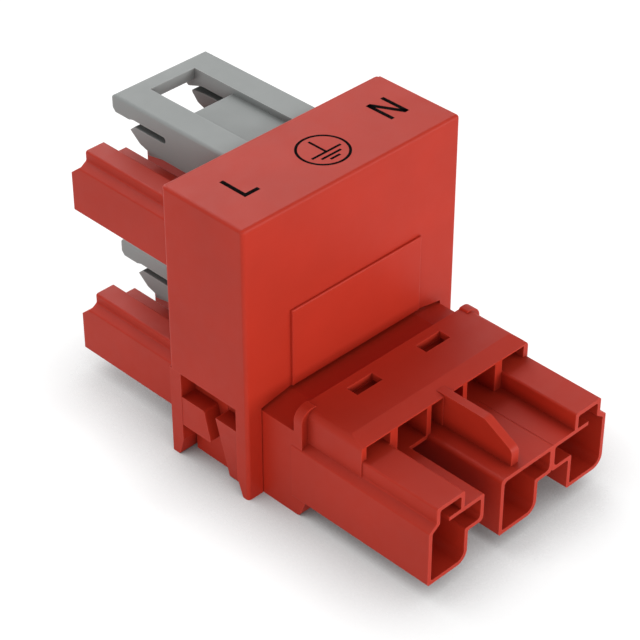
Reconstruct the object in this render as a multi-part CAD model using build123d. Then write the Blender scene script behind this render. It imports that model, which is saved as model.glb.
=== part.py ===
from build123d import *
import os

# Distribution connector: one three-pole plug inlet feeds two three-pole socket outlets.
# X runs along the poles, -Y is the plug side, +Y the socket side and Z is up.
# The origin lies on the resting face, below the middle of the shell's front face.
# All sizes are in millimetres. PAST is how far a cut runs past the face it opens.

# Poles and rows
POLE_PITCH = 10.0
ROW_PITCH = 17.55
AXIS_HEIGHT = 4.75
GAP = 0.1
PAST = 1.0

# Section of a plug chamber, measured from its contact axis
CHAMBER_HALF = 2.27
CHAMBER_FLOOR = 2.33
CHAMBER_CEILING = 3.75
CHAMBER_WALL = 0.45
CHAMBER_CORNER = 0.9
EAR_MARGINS = {"l": 0.6, "pe": 0.6, "n": 0.1}
EAR_FLOOR = 1.35
KEY_INNER = 1.6
KEY_OUTER = 1.3
KEY_CEILING = 5.75
KEY_DIVIDER = 0.45
SHOULDER_LOW = 3.5
SHOULDER_HIGH = 4.15
SOFT_CORNER = 0.25

# Shell
SIDE_REACH = 4.7
TOP_COVER = 0.57
SHELL_DEPTH = 10.75
SHELL_WALL = 1.5
SHELL_EDGE = 0.4
SHELL_CLEARANCE = 0.35
ARCH_HALF = 8.7
ARCH_RISE = 0.7
PANEL_X = 0.3
PANEL_HALF = 9.0
PANEL_HEIGHT = 9.05
PANEL_RAISE = 0.3
PANEL_EDGE = 0.15
LEG_WIDTH = 1.95
LEG_DEPTH = 1.6
LEG_FOOT = 0.8
LEG_TOE_RADIUS = 0.25
LEG_TAPER = 2.2

# Pegs that join the shell to the rear plate
PEG_SIDE_INSET = 2.6
PEG_TOP_INSET = 2.65
PEG_LOW_RISE = 2.8
PEG_RADIUS = 0.95
PEG_HOLE_RADIUS = 1.4
PEG_RECESS = 0.2
POST_RADIUS = 1.75

# Plug block
PLUG_END = -22.3
PLUG_CLEARANCE = 0.4
COLLAR_FRONT = -5.1
COLLAR_TOP = 10.35
COLLAR_TOE = 0.9
COLLAR_TOE_RADIUS = 0.6
BLOCK_GAP = 0.1
BLOCK_END = 4.8
ROOF_BACK = -4.4
ROOF_BREAK = -10.7
ROOF_FRONT = -12.7
ROOF_TOP = 12.85
ROOF_DROP = 0.35
ROOF_INSET = 0.8
ROOF_THICKNESS = 0.75
ROOF_LIP = 0.15
ROOF_LIP_DEPTH = 1.2
ROOF_EDGE = 0.8
POCKET_BACK = -5.6
RIB_THICKNESS = 0.6
NEAR_POCKET = 1.65
WIDE_POCKET_MARGIN = 3.05
KEY_POCKET_INNER = 2.05
KEY_POCKET_OUTER = 1.2
CATCH_WIDTH = 3.5
CATCH_MARGIN = 0.35
CATCH_BACK = -5.5
CATCH_FRONT = -7.0
CATCH_DRAFT = 0.1
BEAD_WIDTH = 1.95
BEAD_RISE = 0.2
BEAD_DEPTH = 1.1
BEAD_RADIUS = 1.4
FIN_HALF = 0.5
FIN_TOP = 12.7
FIN_BEND = -17.9
FIN_BEND_RADIUS = 1.2
FIN_END = -21.5
FIN_SHOULDER = 10.75
FIN_SHOULDER_RADIUS = 0.8
FOOT_POCKET_HALF = 1.75
FOOT_POCKET_FLOOR = 1.2
FOOT_POCKET_ROOF = 1.15
END_WALL = 1.5

# Snap lugs in the side windows
LUG_REACH = 1.9
LUG_DROP = 2.9
FRONT_LUG = (1.7, 4.75)
FRONT_LUG_FOOT = 4.1
FRONT_LUG_FOOT_REACH = 0.8
REAR_LUG_FRONT = 6.4
REAR_LUG_TOE = 5.5
REAR_LUG_FLOOR = 4.15

# Socket block, whose lengths are measured back from the plate's back face
FINGER_LENGTH = 16.8
FINGER_CLEARANCE = 0.2
FINGER_NOSE = 1.3
FINGER_NOSE_DROP = 1.15
EAR_CLEARANCE = 0.4
KEY_CLEARANCE = 0.6
EAR_SETBACK = 1.6
KEY_SETBACK = FINGER_NOSE
KEY_SLOT_END = 0.25
PLATE_RIM = 0.55
PLATE_THICKNESS = 2.0
PLATE_INSET = 0.12
PLATE_EDGE = 0.45
PLATE_TOP_EDGE = 0.25
REAR_LEG_DEPTH = 1.6
REAR_FOOT_DEPTH = 1.0
CARRIER_CHEEK = 1.0
SLEEVE_INSET = 0.9
SLEEVE_HALF = 2.3

# Contact cavities in the fingers
CAVITY_HALF = 1.65
CAVITY_RISE = 1.55
MOUTH_HALF = 1.42
MOUTH_RISE = 1.25
MOUTH_DEPTH = 1.5
MOUTH_BEVEL = 0.2

# Levers: heights from the contact axis of their row, lengths back from their front end
LEVER_HALF = 6.35
LEVER_SETBACK = 0.1
LEVER_RECESS = 0.2
LEVER_TOP = 9.33
LEVER_TILT = 0.1
LEVER_EDGE = 0.35
PAD_HALF = 3.0
PAD_RECESS = 0.7
PAD_UNDERSIDE = 8.0
WINDOW_START = 7.7
WINDOW_END = 2.0
SKIRT_BOTTOM = 4.75
SKIRT_STEP = 0.45
ROOT_LENGTH = 1.3
ROOT_RAMP = 0.2
HOLLOW_END = 7.4
HOLLOW_RADIUS = 1.0
TONGUE_BEND = 5.2
TONGUE_BEND_RADIUS = 0.5
TONGUE_TIP = 1.4
TONGUE_NOSE = 0.9
TONGUE_NOSE_RISE = 0.6
TONGUE_TIP_DROP = 0.4
TONGUE_TIP_EDGE = 0.2
TONGUE_TAPER = 2.0
SLOT_LENGTH = 7.95
SLOT_BOTTOM = 6.76
SLOT_TOP = 7.5
SLOT_ROUND = 0.33
NOSE_BOTTOM = 6.75
NOSE_TOE = 0.9
NOSE_RISE = 1.0
NOSE_RADIUS = 0.3
NOSE_ROOT = 3.0
NOSE_ROOT_RADIUS = 0.8

# Shorter tongue and nose of the skirt on the -X side
SHORT_HEEL = (4.0, 5.1)
SHORT_TIP = (2.6, 6.2)
SHORT_LIP = (3.5, 7.0)
SHORT_NOSE_BOTTOM = 7.3

# Lever bearings in the rear plate
PIVOT_DEPTH = 1.4
PIVOT_RISE = 7.2
PIVOT_RADIUS = 0.75
PIVOT_LENGTH = 1.5
PIVOT_CLEARANCE = 0.06
ARM_HALF_HEIGHT = 0.7
BEARING_MOUTH_HALF = 0.6
PASSAGE_BOTTOM = 4.1
PASSAGE_TOP = 9.5
PASSAGE_CLEARANCE = 0.2

# Metal parts
BUSBAR_THICKNESS = 0.8
BUSBAR_HALF = 1.5
BUSBAR_OVERHANG = 2.0
BUSBAR_CORNER = 0.4
STEM_HALF = 0.55
STEM_CLEARANCE = 0.03
STEM_HEAD_HALF = 0.85
STEM_HEAD = 0.45
PIN_HALF = 1.0
PIN_SETBACK = 4.3
PIN_TIP_BEVEL = 0.5
PIN_FLANGE_HALF = 1.7
PIN_FLANGE = 0.8
RIVET_HEAD_RADIUS = 1.3
CONTACT_SHEET = 0.35
CONTACT_HALF = 1.3
CONTACT_HEIGHT = 1.1
CONTACT_STRAIGHT = 6.2
CONTACT_PINCH = 5.3
CONTACT_PINCH_HALF = 0.9
CONTACT_END = 3.5
CONTACT_END_HALF = 1.0
SPRING_SHEET = 0.2
SPRING_START = 1.2
SPRING_WEB = 4.0
SPRING_HEIGHT = 0.85
SPRING_PLAY = 0.03

# Sizes that follow from those above
POLES = {"l": -POLE_PITCH, "pe": 0.0, "n": POLE_PITCH}
ROWS = {"lower": AXIS_HEIGHT, "upper": AXIS_HEIGHT + ROW_PITCH}
EAR_REACH = {pole: POLE_PITCH / 2 - margin for pole, margin in EAR_MARGINS.items()}
BODY_HALF = POLE_PITCH + SIDE_REACH
BODY_HEIGHT = ROWS["upper"] + LEVER_TOP + TOP_COVER
BLOCK_HALF = BODY_HALF - LEG_WIDTH - BLOCK_GAP
ROOF_HALF = BLOCK_HALF - ROOF_INSET
WINDOW_TOP = COLLAR_TOP + SHELL_CLEARANCE
ARCH_TOP = WINDOW_TOP + ARCH_RISE
LUG_TOP = WINDOW_TOP - LUG_DROP
PEG_X = BODY_HALF - PEG_SIDE_INSET
PEG_HEIGHTS = (WINDOW_TOP + PEG_LOW_RISE, BODY_HEIGHT - PEG_TOP_INSET)
PLATE_BACK = SHELL_DEPTH + PLATE_RIM
PLATE_FRONT = PLATE_BACK - PLATE_THICKNESS
REAR_LEG_FRONT = PLATE_BACK - REAR_LEG_DEPTH
REAR_LEG_FOOT = PLATE_BACK - REAR_FOOT_DEPTH
FINGER_END = PLATE_BACK + FINGER_LENGTH
LEVER_BACK = PLATE_BACK - LEVER_RECESS
LEVER_FRONT = FINGER_END - LEVER_SETBACK
LEVER_WINDOW = (LEVER_FRONT - WINDOW_START, LEVER_FRONT - WINDOW_END)
PIVOT_Y = PLATE_BACK - PIVOT_DEPTH
CHAMBER_BACK = PLUG_END + FINGER_LENGTH + PLUG_CLEARANCE
PIN_TIP = PLUG_END + PIN_SETBACK
BUSBAR_FRONT = BLOCK_END + GAP
BUSBAR_BACK = BUSBAR_FRONT + BUSBAR_THICKNESS
CARRIER_FRONT = BUSBAR_BACK + GAP
CARRIER_TOP = COLLAR_TOP - GAP / 2
SLEEVE_FRONT = CARRIER_FRONT + SLEEVE_INSET
CONTACT_BACK = BUSBAR_BACK + CONTACT_SHEET
CLIP_START = PLATE_BACK + SPRING_START


def outline(corners):
    """Makes a face from corners given as (first, second, radius)."""
    points = [(a, b) for a, b, radius in corners]
    radii = [radius for a, b, radius in corners]
    return make_face(FilletPolyline(*points, radius=radii, close=True))


def along_x(face, start, end):
    """Extrudes a (y, z) face from x = start to x = end."""
    return extrude(Plane.YZ.offset(start) * face, end - start, dir=(1, 0, 0))


def along_y(face, start, end):
    """Extrudes an (x, z) face from y = start to y = end."""
    return extrude(Plane.XZ.offset(-start) * face, end - start, dir=(0, 1, 0))


def along_z(face, start, end):
    """Extrudes an (x, y) face from z = start to z = end."""
    return extrude(Plane.XY.offset(start) * face, end - start, dir=(0, 0, 1))


def block(x_range, y_range, z_range):
    """Makes a box from its three ranges."""
    size = [high - low for low, high in (x_range, y_range, z_range)]
    middle = [(high + low) / 2 for low, high in (x_range, y_range, z_range)]
    return Pos(*middle) * Box(*size)


def around(middle, half):
    """Range of the given half width around a middle."""
    return middle - half, middle + half


def rod(x, z, radius, start, end):
    """Makes a cylinder along Y."""
    return along_y(Pos(x, z) * Circle(radius), start, end)


def both_sides(part):
    """Adds the mirror image on the other side of the middle plane."""
    return part + mirror(part, Plane.YZ)


def section_corners(pole, grow, ear_grow, key_grow):
    """Corners of a chamber section in (u, v), with the ear on the -u side."""
    half = CHAMBER_HALF + grow
    floor = -CHAMBER_FLOOR - grow
    ceiling = CHAMBER_CEILING + grow
    ear = EAR_REACH[pole] + ear_grow
    round_corner = CHAMBER_CORNER + grow
    ear_side, far_side = (SOFT_CORNER, round_corner) if pole == "n" else (round_corner, SOFT_CORNER)
    lower = [
        (half, floor, far_side),
        (-half, floor, ear_side),
        (-half, EAR_FLOOR - grow, SOFT_CORNER),
        (-ear, EAR_FLOOR - grow, 2 * SOFT_CORNER),
        (-ear, ceiling, SOFT_CORNER),
    ]
    if pole == "pe":
        return lower + [(half, ceiling, 2 * SOFT_CORNER)]
    return lower + [
        (-KEY_INNER - grow, ceiling, 0),
        (-KEY_INNER - grow, KEY_CEILING + key_grow, SOFT_CORNER),
        (KEY_OUTER + grow, KEY_CEILING + key_grow, SOFT_CORNER),
        (KEY_OUTER + grow, SHOULDER_HIGH + grow / 2, SOFT_CORNER),
        (half, SHOULDER_LOW + grow / 2, SOFT_CORNER),
    ]


def section(pole, axis, grow, ear_grow, key_grow):
    """Chamber section of one pole as an (x, z) face around its contact axis."""
    side = 1 if pole == "n" else -1
    corners = section_corners(pole, grow, ear_grow, key_grow)
    return outline([(POLES[pole] + side * u, axis + v, radius) for u, v, radius in corners])


def divider(pole, axis, play, free_end):
    """Strip between the chamber and its key channel, from the inner side to the free end."""
    side = 1 if pole == "n" else -1
    inner = POLES[pole] - side * (KEY_INNER + CHAMBER_WALL)
    outer = POLES[pole] + side * free_end
    low = axis + CHAMBER_CEILING - play
    high = axis + CHAMBER_CEILING + KEY_DIVIDER + play
    return min(inner, outer), max(inner, outer), low, high


def shell_box():
    """Outer box of the shell with its front, side and top edges rounded."""
    box = block((-BODY_HALF, BODY_HALF), (0, SHELL_DEPTH), (0, BODY_HEIGHT))
    sharp = SHELL_EDGE / 2
    edges = box.edges().filter_by(lambda e: e.center().Y < SHELL_DEPTH - sharp and e.center().Z > sharp)
    return fillet(edges, SHELL_EDGE)


def front_legs():
    """Keeps the two front legs, which taper to rounded feet."""
    profile = outline([
        (-GAP, 0, 0),
        (LEG_FOOT, 0, LEG_TOE_RADIUS),
        (LEG_DEPTH, LEG_TAPER, 0),
        (LEG_DEPTH, WINDOW_TOP, 0),
        (-GAP, WINDOW_TOP, 0),
    ])
    return both_sides(along_x(profile, BODY_HALF - LEG_WIDTH, BODY_HALF))


def arch(base):
    """Low arch as an (x, z) face, with a slope at each end."""
    return outline([
        (-BLOCK_HALF, base - GAP, 0),
        (BLOCK_HALF, base - GAP, 0),
        (BLOCK_HALF, base, 0),
        (ARCH_HALF, base + ARCH_RISE, 0),
        (-ARCH_HALF, base + ARCH_RISE, 0),
        (-BLOCK_HALF, base, 0),
    ])


def panel():
    """Raised blank panel on the front wall."""
    plate = block(around(PANEL_X, PANEL_HALF), (-PANEL_RAISE, GAP), (ARCH_TOP, ARCH_TOP + PANEL_HEIGHT))
    front = plate.faces().sort_by(Axis.Y)[0]
    return fillet(front.edges(), PANEL_EDGE)


def housing_shell():
    """Box open at the back and below, with two front legs and four pegs."""
    box = shell_box()
    inside = BODY_HALF - SHELL_WALL
    hollow = block(around(0, inside), (SHELL_WALL, SHELL_DEPTH + PAST), (-PAST, BODY_HEIGHT - SHELL_WALL))
    below = block(around(0, BODY_HALF + PAST), (-PAST, SHELL_DEPTH + PAST), (-PAST, WINDOW_TOP))
    shell = box - hollow - below - along_y(arch(WINDOW_TOP), -PAST, SHELL_WALL + PAST)
    shell += (box & front_legs()) + panel()
    busbar_edge = POLE_PITCH + BUSBAR_HALF + 2 * GAP
    for height in PEG_HEIGHTS:
        post = rod(PEG_X, height, POST_RADIUS, SHELL_WALL - GAP, PLATE_FRONT)
        post -= block((0, busbar_edge), (0, SHELL_DEPTH), (0, BODY_HEIGHT))
        peg = rod(PEG_X, height, PEG_RADIUS, PLATE_FRONT - PAST, PLATE_BACK - PEG_RECESS)
        shell += both_sides(post + peg)
    return shell


def roof():
    """Ribbed roof over the chambers, with its pockets open to the front and two catch windows."""
    floor = AXIS_HEIGHT + CHAMBER_CEILING
    front_top = ROOF_TOP - ROOF_DROP
    width = outline([
        (-ROOF_HALF, floor, 0),
        (ROOF_HALF, floor, 0),
        (ROOF_HALF, ROOF_TOP, ROOF_EDGE),
        (-ROOF_HALF, ROOF_TOP, ROOF_EDGE),
    ])
    side = outline([
        (COLLAR_FRONT + PAST, floor, 0),
        (COLLAR_FRONT + PAST, COLLAR_TOP, 0),
        (ROOF_BACK, COLLAR_TOP, 0),
        (ROOF_BACK, ROOF_TOP, 0),
        (ROOF_BREAK, ROOF_TOP, 0),
        (ROOF_FRONT, front_top, 0),
        (ROOF_FRONT, floor, 0),
    ])
    body = along_y(width, ROOF_FRONT, COLLAR_FRONT + PAST)
    body &= along_x(side, *around(0, ROOF_HALF))
    body -= both_sides(pockets())
    body -= both_sides(catch_window())
    return body


def pocket_side(floor):
    """Side view of a pocket, whose ceiling opens out to a thin lip at the front."""
    ceiling = ROOF_TOP - ROOF_THICKNESS
    return outline([
        (POCKET_BACK, floor, 0),
        (POCKET_BACK, ceiling, SOFT_CORNER),
        (ROOF_FRONT + ROOF_LIP_DEPTH, ceiling, 0),
        (ROOF_FRONT, ROOF_TOP - ROOF_DROP - ROOF_LIP, 0),
        (ROOF_FRONT - PAST, ROOF_TOP - ROOF_DROP - ROOF_LIP, 0),
        (ROOF_FRONT - PAST, floor, 0),
    ])


def pockets():
    """The three pockets on the +X side of the roof."""
    floor = AXIS_HEIGHT + CHAMBER_CEILING + CHAMBER_WALL
    key_floor = AXIS_HEIGHT + KEY_CEILING + CHAMBER_WALL
    near_end = RIB_THICKNESS + NEAR_POCKET
    cut = along_x(pocket_side(key_floor), POLE_PITCH - KEY_POCKET_INNER, POLE_PITCH + KEY_POCKET_OUTER)
    cut += along_x(pocket_side(floor), RIB_THICKNESS, near_end)
    cut += along_x(pocket_side(floor), near_end + RIB_THICKNESS, POLE_PITCH - WIDE_POCKET_MARGIN)
    return cut


def catch_window():
    """Window in the roof for a lever's nose, with a little draft at the back."""
    high = ROOF_TOP + PAST
    low = ROOF_TOP - ROOF_THICKNESS - GAP
    profile = outline([
        (CATCH_BACK, high, 0),
        (CATCH_BACK, ROOF_TOP, 0),
        (CATCH_BACK - CATCH_DRAFT, low, 0),
        (CATCH_FRONT, low, 0),
        (CATCH_FRONT, high, 0),
    ])
    outer = POLE_PITCH - WIDE_POCKET_MARGIN - CATCH_MARGIN
    return along_x(profile, outer - CATCH_WIDTH, outer)


def beads():
    """Rounded beads at the back corners of the roof."""
    low = AXIS_HEIGHT + CHAMBER_CEILING
    high = ROOF_TOP + BEAD_RISE
    inner = BLOCK_HALF - BEAD_WIDTH
    profile = outline([
        (inner, low, 0),
        (BLOCK_HALF, low, 0),
        (BLOCK_HALF, high, BEAD_RADIUS),
        (inner, high, SOFT_CORNER),
    ])
    return both_sides(along_y(profile, ROOF_BACK - BEAD_DEPTH, ROOF_BACK))


def fin():
    """Fin in front of the roof, sloped down at its end."""
    floor = AXIS_HEIGHT + CHAMBER_CEILING + CHAMBER_WALL / 2
    return along_x(outline([
        (ROOF_FRONT + PAST, floor, 0),
        (ROOF_FRONT + PAST, FIN_TOP, 0),
        (FIN_BEND, FIN_TOP, FIN_BEND_RADIUS),
        (FIN_END, FIN_SHOULDER, FIN_SHOULDER_RADIUS),
        (FIN_END, floor, 0),
    ]), *around(0, FIN_HALF))


def collar():
    """Plug base that runs from the chambers in under the shell's arched edge."""
    floor = AXIS_HEIGHT - CHAMBER_FLOOR - CHAMBER_WALL
    toe = COLLAR_FRONT - COLLAR_TOE
    profile = outline([
        (BLOCK_END, 0, 0),
        (COLLAR_FRONT, 0, COLLAR_TOE_RADIUS),
        (toe, floor + SOFT_CORNER, 0),
        (COLLAR_FRONT, floor + SOFT_CORNER, 0),
        (COLLAR_FRONT, COLLAR_TOP, 0),
        (BLOCK_END, COLLAR_TOP, 0),
    ])
    return along_x(profile, -BLOCK_HALF, BLOCK_HALF) + along_y(arch(COLLAR_TOP), COLLAR_FRONT, SHELL_WALL)


def foot_pocket(x):
    """Pocket behind a chamber for the pin's flange and the foot of its busbar."""
    lengthwise = (CHAMBER_BACK + END_WALL, BLOCK_END + PAST)
    upright = (FOOT_POCKET_FLOOR, COLLAR_TOP - FOOT_POCKET_ROOF)
    return block(around(x, FOOT_POCKET_HALF), lengthwise, upright)


def front_lug():
    """Wedge-shaped snap lug on the +X side, thickest at its top."""
    back, foot = FRONT_LUG[1], FRONT_LUG_FOOT
    top = Pos(BLOCK_HALF, 0, LUG_TOP) * lug_rectangle(LUG_REACH, FRONT_LUG[0], back)
    bottom = Pos(BLOCK_HALF, 0, GAP) * lug_rectangle(FRONT_LUG_FOOT_REACH, FRONT_LUG[0], foot)
    return loft([bottom, top], ruled=True)


def lug_rectangle(reach, front, back):
    """Level face that reaches out of the block's side."""
    width = reach + GAP
    return Pos(width / 2 - GAP, (front + back) / 2) * Rectangle(width, back - front)


def chamber(pole):
    """Space in a plug chamber, with the divider left standing below its key channel."""
    lengthwise = (PLUG_END - PAST, CHAMBER_BACK)
    space = along_y(section(pole, AXIS_HEIGHT, 0, 0, 0), *lengthwise)
    if pole != "pe":
        left, right, low, high = divider(pole, AXIS_HEIGHT, 0, 0)
        space -= block((left, right), lengthwise, (low, high))
    return space


def plug_block():
    """Three chambers with a ribbed roof, a fin and a collar."""
    body = collar() + roof() + beads() + fin()
    for pole in POLES:
        walls = section(pole, AXIS_HEIGHT, *[CHAMBER_WALL] * 3)
        body += along_y(walls, PLUG_END, COLLAR_FRONT + PAST)
    for pole, x in POLES.items():
        body -= chamber(pole) + foot_pocket(x)
        hole = PIN_HALF + GAP / 2
        through = (CHAMBER_BACK - PAST, CHAMBER_BACK + END_WALL + PAST)
        body -= block(around(x, hole), through, around(AXIS_HEIGHT, hole))
    return body + both_sides(front_lug())


def rear_plate():
    """Rear plate with its legs, standing on the resting face."""
    half = BODY_HALF - PLATE_INSET
    rim_front = SHELL_DEPTH + GAP / 2
    rim = block(around(0, half), (rim_front, PLATE_BACK), (0, BODY_HEIGHT - PLATE_INSET))
    corners = rim.edges().filter_by(Axis.Z).filter_by(lambda e: e.center().Y > PLATE_BACK - GAP)
    rim = fillet(corners, PLATE_EDGE)
    rim = fillet(rim.faces().sort_by(Axis.Z)[-1].edges().sort_by(Axis.Y)[-1], PLATE_TOP_EDGE)
    inside = BODY_HALF - SHELL_WALL - GAP
    inner_top = BODY_HEIGHT - SHELL_WALL - GAP
    inner = block(around(0, inside), (PLATE_FRONT, rim_front), (WINDOW_TOP, inner_top))
    foot = outline([
        (REAR_LEG_FRONT, LEG_TAPER, 0),
        (REAR_LEG_FOOT, 0, LEG_TOE_RADIUS),
        (PLATE_BACK, 0, 0),
        (PLATE_BACK, WINDOW_TOP - GAP / 2, 0),
        (REAR_LEG_FRONT, WINDOW_TOP - GAP / 2, 0),
    ])
    return rim + inner + along_x(foot, -half, half)


def rear_lug():
    """Snap lug on the +X side of the carrier."""
    profile = outline([
        (REAR_LEG_FRONT + GAP, LUG_TOP - GAP, 0),
        (REAR_LUG_FRONT, LUG_TOP - GAP, SOFT_CORNER),
        (REAR_LUG_TOE, REAR_LUG_FLOOR, SOFT_CORNER),
        (REAR_LEG_FRONT + GAP, REAR_LUG_FLOOR, 0),
    ])
    return along_x(profile, BLOCK_HALF - GAP, BLOCK_HALF + LUG_REACH)


def carrier():
    """Lower inner block around the contacts, with side cheeks that meet the plug block."""
    upright = (0, CARRIER_TOP)
    body = block(around(0, BLOCK_HALF), (CARRIER_FRONT, REAR_LEG_FRONT + GAP), upright)
    cheek_range = (BLOCK_HALF - CARRIER_CHEEK, BLOCK_HALF)
    cheek = block(cheek_range, (BLOCK_END + GAP, CARRIER_FRONT + GAP), upright)
    return body + both_sides(cheek + rear_lug())


def finger(pole, axis):
    """One socket finger: a chamber section less its clearance, with key rib and ear cut back."""
    grow = -FINGER_CLEARANCE
    profile = section(pole, axis, grow, -EAR_CLEARANCE, -KEY_CLEARANCE)
    body = along_y(profile, PLATE_BACK - PAST, FINGER_END)
    side = 1 if pole == "n" else -1
    x = POLES[pole]
    ceiling = axis + CHAMBER_CEILING + grow
    ear_edge = x - side * (CHAMBER_HALF + grow)
    ear_end = x - side * POLE_PITCH
    ear_range = (min(ear_edge, ear_end), max(ear_edge, ear_end))
    ear_cut = (FINGER_END - EAR_SETBACK, FINGER_END + PAST)
    body -= block(ear_range, ear_cut, (axis - CHAMBER_FLOOR, ceiling + GAP))
    if pole != "pe":
        left, right, low, high = divider(pole, axis, FINGER_CLEARANCE, KEY_SLOT_END)
        body -= block((left, right), (PLATE_BACK, FINGER_END + PAST), (low, high))
        above = (ceiling, axis + KEY_CEILING + PAST)
        key_cut = (FINGER_END - KEY_SETBACK, FINGER_END + PAST)
        body -= block(around(x, POLE_PITCH / 2), key_cut, above)
    return body - finger_nose(x, ceiling)


def finger_nose(x, ceiling):
    """Wedge that bevels the top of a finger's end."""
    profile = outline([
        (FINGER_END - FINGER_NOSE, ceiling, 0),
        (FINGER_END + GAP, ceiling - FINGER_NOSE_DROP, 0),
        (FINGER_END + GAP, ceiling + GAP, 0),
        (FINGER_END - FINGER_NOSE, ceiling + GAP, 0),
    ])
    return along_x(profile, *around(x, POLE_PITCH / 2))


def contact_cavity(x, axis):
    """Space for a contact, with a bevelled mouth at the finger's end."""
    inner_end = FINGER_END - MOUTH_DEPTH
    cavity_y = (CARRIER_FRONT - PAST, inner_end)
    cavity = block(around(x, CAVITY_HALF), cavity_y, around(axis, CAVITY_RISE))
    mouth_y = (inner_end - PAST, FINGER_END + PAST)
    mouth = block(around(x, MOUTH_HALF), mouth_y, around(axis, MOUTH_RISE))
    narrow = mouth_face(x, axis, FINGER_END - MOUTH_BEVEL, 0)
    wide = mouth_face(x, axis, FINGER_END, MOUTH_BEVEL)
    return cavity + mouth + loft([narrow, wide], ruled=True)


def mouth_face(x, axis, y, grow):
    """Rectangle across a finger's mouth at the given Y."""
    rectangle = Rectangle(2 * (MOUTH_HALF + grow), 2 * (MOUTH_RISE + grow))
    return Plane.XZ.offset(-y) * Pos(x, axis) * rectangle


def lever_passage(axis):
    """Opening in the rear plate for a lever, with snap-in bearings for its trunnions."""
    half = LEVER_HALF + PASSAGE_CLEARANCE
    upright = (axis + PASSAGE_BOTTOM, axis + PASSAGE_TOP)
    opening = block(around(0, half), (PLATE_FRONT - PAST, PLATE_BACK + PAST), upright)
    bore = PIVOT_RADIUS + PIVOT_CLEARANCE
    reach = LEVER_HALF + PIVOT_LENGTH + GAP
    z = axis + PIVOT_RISE
    bearing = along_x(Pos(PIVOT_Y, z) * Circle(bore), -reach, reach)
    mouth = block(around(0, reach), (PLATE_FRONT - PAST, PIVOT_Y), around(z, BEARING_MOUTH_HALF))
    return opening + bearing + mouth


def socket_block():
    """Rear plate with carrier, six fingers and the lever passages."""
    body = rear_plate() + carrier()
    for axis in ROWS.values():
        for pole, x in POLES.items():
            body += finger(pole, axis)
            sleeve_y = (SLEEVE_FRONT, PLATE_FRONT + PAST)
            body += block(around(x, SLEEVE_HALF), sleeve_y, around(axis, SLEEVE_HALF))
    for axis in ROWS.values():
        body -= lever_passage(axis)
        for x in POLES.values():
            body -= contact_cavity(x, axis)
    for height in PEG_HEIGHTS:
        hole = rod(PEG_X, height, PEG_HOLE_RADIUS, PLATE_FRONT - PAST, PLATE_BACK + PAST)
        body -= both_sides(hole)
    return body


def lever_side(axis):
    """Side view of a lever: sloping top, hooked nose, roof slot and tongue."""
    top_back = axis + LEVER_TOP
    top_front = top_back - LEVER_TILT
    bottom = axis + SKIRT_BOTTOM
    step = bottom - SKIRT_STEP
    slot_bottom = axis + SLOT_BOTTOM
    slot_top = axis + SLOT_TOP
    nose = axis + NOSE_BOTTOM
    root = LEVER_BACK + ROOT_LENGTH
    tip = LEVER_FRONT - TONGUE_TIP
    return outline([
        (LEVER_BACK, step, 0),
        (root, step, 0),
        (root + ROOT_RAMP, bottom, 0),
        (LEVER_FRONT - HOLLOW_END, bottom, HOLLOW_RADIUS),
        (LEVER_FRONT - TONGUE_BEND, step, TONGUE_BEND_RADIUS),
        (tip - TONGUE_NOSE, bottom + TONGUE_NOSE_RISE, TONGUE_NOSE_RISE),
        (tip, slot_bottom - TONGUE_TIP_DROP, TONGUE_TIP_EDGE),
        (tip - TONGUE_TIP_EDGE, slot_bottom - TONGUE_TIP_EDGE, TONGUE_TIP_EDGE / 2),
        (tip - TONGUE_TAPER, slot_bottom, TONGUE_BEND_RADIUS),
        (LEVER_FRONT - SLOT_LENGTH, slot_bottom, SLOT_ROUND),
        (LEVER_FRONT - SLOT_LENGTH, slot_top, SLOT_ROUND),
        (LEVER_FRONT - NOSE_ROOT, slot_top, NOSE_ROOT_RADIUS),
        (LEVER_FRONT - NOSE_TOE, nose, NOSE_RADIUS),
        (LEVER_FRONT, nose + NOSE_RISE, NOSE_RADIUS),
        (LEVER_FRONT, top_front, 0),
        (LEVER_BACK, top_back, 0),
    ])


def lever_top_gap(axis):
    """Wedge of air above the recessed pad, parallel to the sloping top."""
    window_front, window_end = LEVER_WINDOW
    slope = LEVER_TILT / (LEVER_FRONT - LEVER_BACK)
    pad_back = axis + LEVER_TOP - PAD_RECESS
    high = axis + LEVER_TOP + PAST
    profile = outline([
        (LEVER_BACK - PAST, pad_back, 0),
        (window_end, pad_back - slope * (window_end - LEVER_BACK), 0),
        (window_end, high, 0),
        (LEVER_BACK - PAST, high, 0),
    ])
    return along_x(profile, -PAD_HALF, PAD_HALF)


def short_skirt_trim(axis):
    """Cut that leaves the -X skirt its shorter tongue and nose."""
    low = axis + SKIRT_BOTTOM - PAST
    nose = axis + SHORT_NOSE_BOTTOM
    profile = outline([
        (LEVER_FRONT - TONGUE_BEND, low, 0),
        (LEVER_FRONT - TONGUE_BEND, axis + SKIRT_BOTTOM, 0),
        (LEVER_FRONT - SHORT_HEEL[0], axis + SHORT_HEEL[1], TONGUE_BEND_RADIUS),
        (LEVER_FRONT - SHORT_TIP[0], axis + SHORT_TIP[1], 0),
        (LEVER_FRONT - SHORT_LIP[0], axis + SHORT_LIP[1], 0),
        (LEVER_FRONT - SHORT_TIP[0], nose, SOFT_CORNER),
        (LEVER_FRONT + PAST, nose, 0),
        (LEVER_FRONT + PAST, low, 0),
    ])
    return along_x(profile, -LEVER_HALF - PAST, 0)


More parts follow.
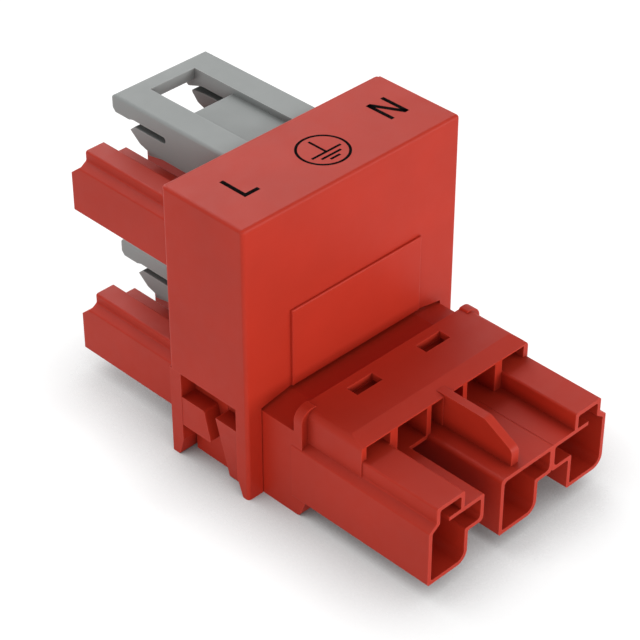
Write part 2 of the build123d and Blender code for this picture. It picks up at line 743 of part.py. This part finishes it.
def lever(axis):
    """Locking lever with two skirts, a recessed pad, a window and trunnions."""
    body = along_x(lever_side(axis), -LEVER_HALF, LEVER_HALF) - short_skirt_trim(axis)
    low_edge = axis + LEVER_TOP - LEVER_TILT - GAP
    top_edges = body.edges().filter_by(lambda e: e.center().Z > low_edge)
    body = fillet(top_edges.filter_by(lambda e: e.center().Y > LEVER_BACK + GAP), LEVER_EDGE)
    pad = around(0, PAD_HALF)
    body -= block(pad, (LEVER_BACK - PAST, LEVER_FRONT + PAST), (axis, axis + PAD_UNDERSIDE))
    body -= lever_top_gap(axis)
    body -= block(pad, LEVER_WINDOW, (axis, axis + LEVER_TOP + PAST))
    z = axis + PIVOT_RISE
    arm = block(around(0, LEVER_HALF), (PIVOT_Y, LEVER_BACK + GAP), around(z, ARM_HALF_HEIGHT))
    knuckle = along_x(Pos(PIVOT_Y, z) * Circle(ARM_HALF_HEIGHT), -LEVER_HALF, LEVER_HALF)
    reach = LEVER_HALF + PIVOT_LENGTH
    trunnion = along_x(Pos(PIVOT_Y, z) * Circle(PIVOT_RADIUS), -reach, reach)
    return body + arm + knuckle + trunnion


def busbar(x):
    """Upright copper strip that joins a pin to its two contacts."""
    low = ROWS["lower"] - BUSBAR_OVERHANG
    high = ROWS["upper"] + BUSBAR_OVERHANG
    strip = block(around(x, BUSBAR_HALF), (BUSBAR_FRONT, BUSBAR_BACK), (low, high))
    strip = chamfer(strip.edges().filter_by(Axis.Y), BUSBAR_CORNER)
    for axis in ROWS.values():
        strip -= stem_hole(x, axis, BUSBAR_FRONT, BUSBAR_BACK)
    return strip


def stem_hole(x, axis, front, back):
    """Square hole for a stem through metal that runs from front to back."""
    half = STEM_HALF + STEM_CLEARANCE
    return block(around(x, half), (front - PAST, back + PAST), around(axis, half))


def stem(x, axis):
    """Square stem through a busbar and the base of a contact, with its peened head."""
    shank_y = (BUSBAR_FRONT - GAP, CONTACT_BACK + GAP)
    shank = block(around(x, STEM_HALF), shank_y, around(axis, STEM_HALF))
    head_y = (CONTACT_BACK, CONTACT_BACK + STEM_HEAD)
    return shank + block(around(x, STEM_HEAD_HALF), head_y, around(axis, STEM_HEAD_HALF))


def pin(x):
    """Square contact pin with a bevelled tip and a flange behind the chamber's end wall."""
    axis = AXIS_HEIGHT
    shaft = block(around(x, PIN_HALF), (PIN_TIP, BUSBAR_FRONT), around(axis, PIN_HALF))
    tip = shaft.faces().sort_by(Axis.Y)[0]
    shaft = chamfer(tip.edges(), PIN_TIP_BEVEL)
    seat = CHAMBER_BACK + END_WALL
    wide = around(x, PIN_FLANGE_HALF)
    tall = around(axis, PIN_FLANGE_HALF)
    return shaft + block(wide, (seat, seat + PIN_FLANGE), tall) + stem(x, axis)


def arm_corners(side, thickness, start, offset):
    """Plan corners of a strip that follows a contact arm on its outer or inner side."""
    straight = CONTACT_HALF + offset
    pinch = CONTACT_PINCH_HALF + CONTACT_SHEET + offset
    end = CONTACT_END_HALF + CONTACT_SHEET + offset
    outer = [
        (straight, start),
        (straight, PLATE_BACK + CONTACT_STRAIGHT),
        (pinch, FINGER_END - CONTACT_PINCH),
        (end, FINGER_END - CONTACT_END),
    ]
    inner = [(u - thickness, y) for u, y in reversed(outer)]
    return [(side * u, y, 0) for u, y in outer + inner]


def contact(x, axis):
    """Fork contact: a riveted base and two arms that pinch the pin."""
    body = block(around(0, CONTACT_HALF), (BUSBAR_BACK, CONTACT_BACK), around(0, CONTACT_HEIGHT))
    for side in (-1, 1):
        face = outline(arm_corners(side, CONTACT_SHEET, BUSBAR_BACK, 0))
        body += along_z(face, *around(0, CONTACT_HEIGHT))
    body -= stem_hole(0, 0, BUSBAR_BACK, CONTACT_BACK)
    return Pos(x, 0, axis) * body


def over_spring(x, axis):
    """Steel clip over a contact: a web on top and two leaves along the arms."""
    offset = SPRING_SHEET + SPRING_PLAY
    low = -SPRING_HEIGHT
    web_low = CONTACT_HEIGHT + SPRING_PLAY
    half = CONTACT_HALF + offset
    web_y = (CLIP_START, CLIP_START + SPRING_WEB)
    body = block(around(0, half), web_y, (web_low, web_low + SPRING_SHEET))
    for side in (-1, 1):
        face = outline(arm_corners(side, SPRING_SHEET, CLIP_START, offset))
        body += along_z(face, low, SPRING_HEIGHT)
        edge = (half - SPRING_SHEET, half) if side > 0 else (-half, SPRING_SHEET - half)
        body += block(edge, web_y, (low, web_low + SPRING_SHEET))
    return Pos(x, 0, axis) * body


def contact_rivets():
    """Rivets of the three upper contacts, headed in front of the busbars."""
    axis = ROWS["upper"]
    rivets = []
    for x in POLES.values():
        head = rod(x, axis, RIVET_HEAD_RADIUS, BUSBAR_FRONT - STEM_HEAD, BUSBAR_FRONT)
        rivets.append((head + stem(x, axis)).solid())
    return Compound(rivets)


def all_nodes():
    """Every piece by its name."""
    nodes = {
        "housing_shell": housing_shell(),
        "plug_block": plug_block(),
        "socket_block": socket_block(),
        "contact_rivets": contact_rivets(),
    }
    for row, axis in ROWS.items():
        nodes[f"lever_{row}"] = lever(axis)
    for pole, x in POLES.items():
        nodes[f"busbar_{pole}"] = busbar(x)
        nodes[f"pin_{pole}"] = pin(x)
        for row, axis in ROWS.items():
            nodes[f"contact_{pole}_{row}"] = contact(x, axis)
            nodes[f"spring_{pole}_{row}"] = over_spring(x, axis)
    return nodes


def write_parts():
    """Writes one STEP file for each piece."""
    os.makedirs("parts", exist_ok=True)
    for name, node in all_nodes().items():
        export_step(node, f"parts/{name}.step")


write_parts()
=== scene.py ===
import math

import bmesh
import bpy
from mathutils import Matrix, Vector


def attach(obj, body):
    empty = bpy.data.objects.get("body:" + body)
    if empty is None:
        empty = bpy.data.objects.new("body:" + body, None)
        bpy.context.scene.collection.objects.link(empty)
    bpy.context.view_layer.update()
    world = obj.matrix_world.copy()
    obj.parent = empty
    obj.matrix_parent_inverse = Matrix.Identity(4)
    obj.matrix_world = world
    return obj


MM = 0.001

# Camera, from the calibration of the photograph: angles in degrees, lengths in millimetres
AZIMUTH = -44.771
ELEVATION = 36.373
TARGET = (0, 6.0, 14.2)
OFFSET = (0.858, -2.096, 224.764)
ENLARGEMENT = 1.78
LENS = 70.46 * ENLARGEMENT
SENSOR_WIDTH = 36
CLIP_START = 10

# Printed marks on top of the shell, in millimetres
SHELL_TOP = 32.2
PRINT_HEIGHT = 0.004
PRINT_DEPTH = 0.05
STROKE = 0.48
LETTER_HEIGHT = 3.55
LETTER_BASE = 4.1
L_LEFT = -10.48
L_WIDTH = 1.98
N_LEFT = 9.18
N_WIDTH = 2.54
N_SLANT = 0.6
EARTH_CENTRE = (0.48, 4.85)
EARTH_RADIUS = 2.79
EARTH_STROKE = 0.29
EARTH_STEM = (-0.45, 2.0)
EARTH_BARS = ((-0.45, 1.95), (-1.12, 1.32), (-1.68, 0.65))
RING_SIDES = 72

# Colours, as linear shares of red, green and blue
WHITE = (1, 1, 1)
RED = (0.53, 0.031, 0.0125)
# Paler red painted on the outer corners as a highlight
RED_EDGE_HIGHLIGHT = (0.62, 0.05, 0.026)
GREY = (0.345, 0.362, 0.356)
# Paler grey painted on the outer corners as a highlight
GREY_EDGE_HIGHLIGHT = (0.45, 0.47, 0.46)
INK_DARK = (0.006, 0.005, 0.005)
INK_LIGHT = (0.014, 0.012, 0.012)

# Plastics: colour, colour of the painted highlights on outer corners, roughness, and
# shares of the colour left where shade is painted into creases and into hollows
PLASTICS = {
    "red_plastic": (RED, RED_EDGE_HIGHLIGHT, 0.5, 0.8, 1),
    # The same red with deeper painted shade, for the plug and socket blocks
    "red_block_plastic_deeper_shade": (RED, RED_EDGE_HIGHLIGHT, 0.5, 0.55, 0.9),
    "grey_plastic": (GREY, GREY_EDGE_HIGHLIGHT, 0.48, 0.6, 0.8),
}

# Metals: colour, roughness, and scale of the noise on each axis, small along the lines
METALS = {
    "copper_strip": ((0.80, 0.42, 0.27), 0.3, (1, 1, 0.05)),
    "tin_plating": ((0.74, 0.72, 0.68), 0.28, (1, 0.05, 1)),
    "spring_steel": ((0.56, 0.57, 0.59), 0.32, (1, 0.05, 1)),
}

# Reach in millimetres of the painted shade in creases and hollows and of the painted
# highlights on outer corners, and the creases' range of free space
CREASE_SHADE_REACH = 1.2
HOLLOW_SHADE_REACH = 5.0
EDGE_HIGHLIGHT_REACH = 0.18
CREASE_SHADE_RANGE = (0.55, 0.96)
OPENNESS_SAMPLES = 6

# Noise of the surfaces, in features per metre
FLOW_NOISE = 120
PATCH_NOISE = 700
GRAIN_NOISE = 5000
METAL_NOISE = 4000
INK_NOISE = 3000

# Shades of the noise, swing of the roughness, and relief as millimetres and strength
FLOW_DARK = 0.95
FLOW_LIGHT = 1.05
PLASTIC_SWING = 0.03
PLASTIC_RELIEF = (0.003, 0.25)
PLASTIC_IOR = 1.5
PLASTIC_SPECULAR = 0.25
METAL_DARK = 0.88
METAL_SWING = 0.06
METAL_RELIEF = (0.004, 0.2)
INK_ROUGHNESS = (0.6, 0.7)

# Softboxes: distance in metres, then the azimuth and elevation of each in degrees, its
# width and height in metres and its power in watts
LAMP_DISTANCE = 0.9
LAMPS = {
    "front": (24, 13, 1.5, 0.36, 6.5),
    "left": (-66, 13, 1.1, 0.36, 3.1),
    "back": (168, 38, 1.0, 0.9, 6.6),
}

# Brightness of the surroundings, as shares of white
SKY_LIGHT = 0.22
FLOOR_GREY = (0.6, 0.6, 0.6)
FLOOR_SEEN = (0.25, 0.25, 0.25)
FLOOR_GLOW = 0.9
# Glow colour of the floor's painted contact shadow where no space is free
FLOOR_PAINTED_SHADOW = (0, 0, 0)

# Floor: range of free space over which its painted contact shadow fades, and lengths in
# millimetres
FLOOR_PAINTED_SHADOW_RANGE = (0.14, 1)
FLOOR_PAINTED_SHADOW_REACH = 10
FLOOR_HALF = 3000
FLOOR_DROP = 0.01

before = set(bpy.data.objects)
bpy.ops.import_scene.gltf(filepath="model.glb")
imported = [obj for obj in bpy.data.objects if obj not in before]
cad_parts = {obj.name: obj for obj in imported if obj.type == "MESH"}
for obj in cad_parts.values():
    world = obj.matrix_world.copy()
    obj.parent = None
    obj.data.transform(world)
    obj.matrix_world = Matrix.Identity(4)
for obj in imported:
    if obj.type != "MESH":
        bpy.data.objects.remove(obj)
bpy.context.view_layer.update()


def link(nodes, source, target):
    """Joins two sockets of a material's node tree."""
    nodes.id_data.links.new(source, target)


def new_material(name):
    """Material with an empty tree, its output and a Principled shader."""
    material = bpy.data.materials.new(name)
    material.use_nodes = True
    nodes = material.node_tree.nodes
    nodes.clear()
    output = nodes.new("ShaderNodeOutputMaterial")
    shader = nodes.new("ShaderNodeBsdfPrincipled")
    link(nodes, shader.outputs["BSDF"], output.inputs["Surface"])
    return material, nodes, shader


def object_space(nodes):
    """Coordinates that stay with the object."""
    return nodes.new("ShaderNodeTexCoord").outputs["Object"]


def noise(nodes, coordinates, scale, detail=2.0):
    """Noise texture; scale is in features per metre."""
    texture = nodes.new("ShaderNodeTexNoise")
    texture.inputs["Scale"].default_value = scale
    texture.inputs["Detail"].default_value = detail
    link(nodes, coordinates, texture.inputs["Vector"])
    return texture.outputs["Fac"]


def spread(nodes, value, low, high, start=0.3, stop=0.7):
    """Maps a part of a value's range, by default the middle of a noise, to low and high."""
    ranged = nodes.new("ShaderNodeMapRange")
    ranged.inputs["From Min"].default_value = start
    ranged.inputs["From Max"].default_value = stop
    ranged.inputs["To Min"].default_value = low
    ranged.inputs["To Max"].default_value = high
    link(nodes, value, ranged.inputs["Value"])
    return ranged.outputs["Result"]


def openness(nodes, reach, own=False, inside=False):
    """Share of the space around a point, or below its surface, that is free within reach."""
    occlusion = nodes.new("ShaderNodeAmbientOcclusion")
    occlusion.samples = OPENNESS_SAMPLES
    occlusion.only_local = own
    occlusion.inside = inside
    occlusion.inputs["Distance"].default_value = reach * MM
    return occlusion.outputs["AO"]


def blended(nodes, share, first, second):
    """Colour that goes from the first, at a share of 0, to the second, a colour or a socket."""
    mix = nodes.new("ShaderNodeMix")
    mix.data_type = "RGBA"
    mix.inputs["A"].default_value = (*first, 1)
    if isinstance(second, tuple):
        mix.inputs["B"].default_value = (*second, 1)
    else:
        link(nodes, second, mix.inputs["B"])
    link(nodes, share, mix.inputs["Factor"])
    return mix.outputs["Result"]


def shade(colour, share):
    """Darker or lighter shade of a colour."""
    return tuple(share * part for part in colour)


def roughen(nodes, shader, value, middle, swing):
    """Roughness that a noise swings around its middle."""
    varied = spread(nodes, value, middle - swing, middle + swing)
    link(nodes, varied, shader.inputs["Roughness"])


def emboss(nodes, shader, height, depth, strength):
    """Fine relief from a noise, with its depth in millimetres."""
    bump = nodes.new("ShaderNodeBump")
    bump.inputs["Strength"].default_value = strength
    bump.inputs["Distance"].default_value = depth * MM
    link(nodes, height, bump.inputs["Height"])
    link(nodes, bump.outputs["Normal"], shader.inputs["Normal"])


def plastic(name, colour, edge_highlight, roughness, crease_shade_share, hollow_shade_share):
    """Moulded plastic: faint flow, fine grain, painted shade in creases and hollows, painted
    highlights on outer corners.
    """
    material, nodes, shader = new_material(name)
    place = object_space(nodes)
    flow = spread(nodes, noise(nodes, place, FLOW_NOISE), 0, 1)
    body = blended(nodes, flow, shade(colour, FLOW_DARK), shade(colour, FLOW_LIGHT))
    # Painted shade in hollows, where other parts come near
    hollows = openness(nodes, HOLLOW_SHADE_REACH)
    body = blended(nodes, hollows, shade(colour, hollow_shade_share), body)
    # Painted shade in the plastic's own creases
    creases = spread(nodes, openness(nodes, CREASE_SHADE_REACH, own=True), 0, 1, *CREASE_SHADE_RANGE)
    body = blended(nodes, creases, shade(colour, crease_shade_share), body)
    # Painted highlight: outer corners of the plastic get a paler colour
    edges = openness(nodes, EDGE_HIGHLIGHT_REACH, own=True, inside=True)
    body = blended(nodes, edges, edge_highlight, body)
    link(nodes, body, shader.inputs["Base Color"])
    patches = noise(nodes, place, PATCH_NOISE, detail=3)
    roughen(nodes, shader, patches, roughness, PLASTIC_SWING)
    shader.inputs["IOR"].default_value = PLASTIC_IOR
    shader.inputs["Specular IOR Level"].default_value = PLASTIC_SPECULAR
    emboss(nodes, shader, noise(nodes, place, GRAIN_NOISE), *PLASTIC_RELIEF)
    return material


def metal(name, colour, roughness, stretch):
    """Rolled or plated metal, with fine lines along one axis."""
    material, nodes, shader = new_material(name)
    mapping = nodes.new("ShaderNodeMapping")
    mapping.inputs["Scale"].default_value = stretch
    link(nodes, object_space(nodes), mapping.inputs["Vector"])
    lines = noise(nodes, mapping.outputs["Vector"], METAL_NOISE, detail=4)
    body = blended(nodes, spread(nodes, lines, 0, 1), shade(colour, METAL_DARK), colour)
    link(nodes, body, shader.inputs["Base Color"])
    shader.inputs["Metallic"].default_value = 1
    roughen(nodes, shader, lines, roughness, METAL_SWING)
    emboss(nodes, shader, lines, *METAL_RELIEF)
    return material


def print_ink(name):
    """Matt black printing ink with a little unevenness."""
    material, nodes, shader = new_material(name)
    value = spread(nodes, noise(nodes, object_space(nodes), INK_NOISE, detail=3), 0, 1)
    link(nodes, blended(nodes, value, INK_DARK, INK_LIGHT), shader.inputs["Base Color"])
    link(nodes, spread(nodes, value, *INK_ROUGHNESS), shader.inputs["Roughness"])
    shader.inputs["Specular IOR Level"].default_value = 0
    return material


def dress(material, *names):
    """Gives carried-over CAD nodes a material."""
    for name in names:
        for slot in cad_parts[name].material_slots:
            slot.material = material


def add_object(name, data):
    """New object in the scene."""
    thing = bpy.data.objects.new(name, data)
    bpy.context.scene.collection.objects.link(thing)
    return thing


def prism(name, outlines, material):
    """Thin print on the shell's top, from flat outlines in millimetres."""
    mesh = bpy.data.meshes.new(name)
    shape = bmesh.new()
    low = (SHELL_TOP - PRINT_DEPTH) * MM
    high = (SHELL_TOP + PRINT_HEIGHT) * MM
    for corners in outlines:
        bottom = [shape.verts.new((x * MM, y * MM, low)) for x, y in corners]
        top = [shape.verts.new((x * MM, y * MM, high)) for x, y in corners]
        shape.faces.new(top)
        shape.faces.new(list(reversed(bottom)))
        for i in range(len(corners)):
            j = (i + 1) % len(corners)
            shape.faces.new((bottom[i], bottom[j], top[j], top[i]))
    bmesh.ops.recalc_face_normals(shape, faces=shape.faces)
    shape.to_mesh(mesh)
    shape.free()
    piece = add_object(name, mesh)
    mesh.materials.append(material)
    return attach(piece, "housing")


def bar(x_low, x_high, y_low, y_high):
    """Rectangle as a list of corners."""
    return [(x_low, y_low), (x_high, y_low), (x_high, y_high), (x_low, y_high)]


def letter_l(material):
    """Upright with a foot."""
    x, y = L_LEFT, LETTER_BASE
    foot = [(x, y), (x + L_WIDTH, y), (x + L_WIDTH, y + STROKE), (x + STROKE, y + STROKE)]
    upright = [(x + STROKE, y + LETTER_HEIGHT), (x, y + LETTER_HEIGHT)]
    prism("mark_l", [foot + upright], material)


def letter_n(material):
    """Two uprights and a diagonal."""
    left, low = N_LEFT, LETTER_BASE
    right, high = left + N_WIDTH, low + LETTER_HEIGHT
    uprights = [bar(x, x + STROKE, low, high) for x in (left, right - STROKE)]
    diagonal = [(left, high), (right - N_SLANT, low), (right, low), (left + N_SLANT, high)]
    prism("mark_n", [*uprights, diagonal], material)


def earth_mark(material):
    """Earth symbol in a ring: a stem and three bars that get shorter."""
    cx, cy = EARTH_CENTRE
    inner = EARTH_RADIUS - EARTH_STROKE
    outlines = []
    for i in range(RING_SIDES):
        start, stop = (math.tau * step / RING_SIDES for step in (i, i + 1))
        side = [(EARTH_RADIUS, start), (EARTH_RADIUS, stop), (inner, stop), (inner, start)]
        outlines.append([(cx + r * math.cos(t), cy + r * math.sin(t)) for r, t in side])
    half = EARTH_STROKE / 2
    low, high = EARTH_STEM
    outlines.append(bar(cx - half, cx + half, cy + low, cy + high))
    for height, reach in EARTH_BARS:
        outlines.append(bar(cx - reach, cx + reach, cy + height - half, cy + height + half))
    prism("mark_earth", outlines, material)


def direction(azimuth, elevation):
    """Unit vector from the connector towards a camera or lamp at these angles."""
    turn, rise = math.radians(azimuth), math.radians(elevation)
    level = math.cos(rise)
    return Vector((math.sin(turn) * level, -math.cos(turn) * level, math.sin(rise)))


def add_camera():
    """Camera at the photograph's angle and distance, closer in on the one connector."""
    back = direction(AZIMUTH, ELEVATION)
    right = direction(AZIMUTH + 90, 0)
    up = back.cross(right)
    data = bpy.data.cameras.new("camera")
    data.lens = LENS
    data.sensor_width = SENSOR_WIDTH
    data.clip_start = CLIP_START * MM
    camera = add_object("camera", data)
    place = Vector(TARGET) + OFFSET[0] * right + OFFSET[1] * up + OFFSET[2] * back
    facing = Matrix((right, up, back)).transposed().to_4x4()
    camera.matrix_world = Matrix.Translation(MM * place) @ facing
    bpy.context.scene.camera = camera


def add_lamp(name, azimuth, elevation, width, height, power):
    """Softbox that points at the connector from a direction."""
    away = direction(azimuth, elevation)
    data = bpy.data.lights.new(name, "AREA")
    data.shape = "RECTANGLE"
    data.size = width
    data.size_y = height
    data.energy = power
    lamp = add_object(name, data)
    lamp.location = Vector(TARGET) * MM + away * LAMP_DISTANCE
    lamp.rotation_mode = "QUATERNION"
    lamp.rotation_quaternion = away.to_track_quat("Z", "Y")


def seen_straight(nodes):
    """1 for the camera's rays and for those in reflections or through glass, else 0."""
    paths = nodes.new("ShaderNodeLightPath")
    total = paths.outputs["Is Camera Ray"]
    for kind in ("Is Glossy Ray", "Is Transmission Ray"):
        adding = nodes.new("ShaderNodeMath")
        adding.use_clamp = True
        link(nodes, total, adding.inputs[0])
        link(nodes, paths.outputs[kind], adding.inputs[1])
        total = adding.outputs["Value"]
    return total


def add_world():
    """White surroundings, a plain light level on the object."""
    world = bpy.data.worlds.new("studio")
    bpy.context.scene.world = world
    world.use_nodes = True
    nodes = world.node_tree.nodes
    background = nodes["Background"]
    strength = spread(nodes, seen_straight(nodes), SKY_LIGHT, 1, 0, 1)
    link(nodes, strength, background.inputs["Strength"])
    background.inputs["Color"].default_value = (*WHITE, 1)


def add_floor():
    """Pale floor that shows white to the camera, keeps the cast shadow and has a painted
    contact shadow.
    """
    mesh = bpy.data.meshes.new("floor")
    half = FLOOR_HALF * MM
    corners = bar(-half, half, -half, half)
    mesh.from_pydata([(x, y, 0) for x, y in corners], [], [(0, 1, 2, 3)])
    floor = add_object("floor", mesh)
    floor.location.z = -FLOOR_DROP * MM
    material, nodes, shader = new_material("floor_paint")
    seen = seen_straight(nodes)
    link(nodes, blended(nodes, seen, FLOOR_GREY, FLOOR_SEEN), shader.inputs["Base Color"])
    # Painted contact shadow: the floor's glow darkens where the object closes in the space
    # above
    free = spread(nodes, openness(nodes, FLOOR_PAINTED_SHADOW_REACH), 0, 1, *FLOOR_PAINTED_SHADOW_RANGE)
    link(nodes, blended(nodes, free, FLOOR_PAINTED_SHADOW, WHITE), shader.inputs["Emission Color"])
    glow = spread(nodes, seen, 0, FLOOR_GLOW, 0, 1)
    link(nodes, glow, shader.inputs["Emission Strength"])
    shader.inputs["Roughness"].default_value = 1
    shader.inputs["Specular IOR Level"].default_value = 0
    mesh.materials.append(material)


def finish_surfaces():
    """Materials of the carried-over CAD nodes."""
    red, red_block, grey = (plastic(name, *look) for name, look in PLASTICS.items())
    copper, tin, steel = (metal(name, *look) for name, look in METALS.items())
    dress(red, "housing_shell")
    dress(red_block, "plug_block", "socket_block")
    dress(grey, "lever_upper", "lever_lower")
    dress(tin, "contact_rivets")
    for pole in ("l", "pe", "n"):
        dress(copper, f"busbar_{pole}")
        dress(tin, f"pin_{pole}", f"contact_{pole}_upper", f"contact_{pole}_lower")
        dress(steel, f"spring_{pole}_upper", f"spring_{pole}_lower")


finish_surfaces()
ink = print_ink("print_ink")
letter_l(ink)
letter_n(ink)
earth_mark(ink)
add_floor()
add_world()
for lamp_name, figures in LAMPS.items():
    add_lamp(lamp_name, *figures)
add_camera()
bpy.context.scene.view_settings.view_transform = "Standard"
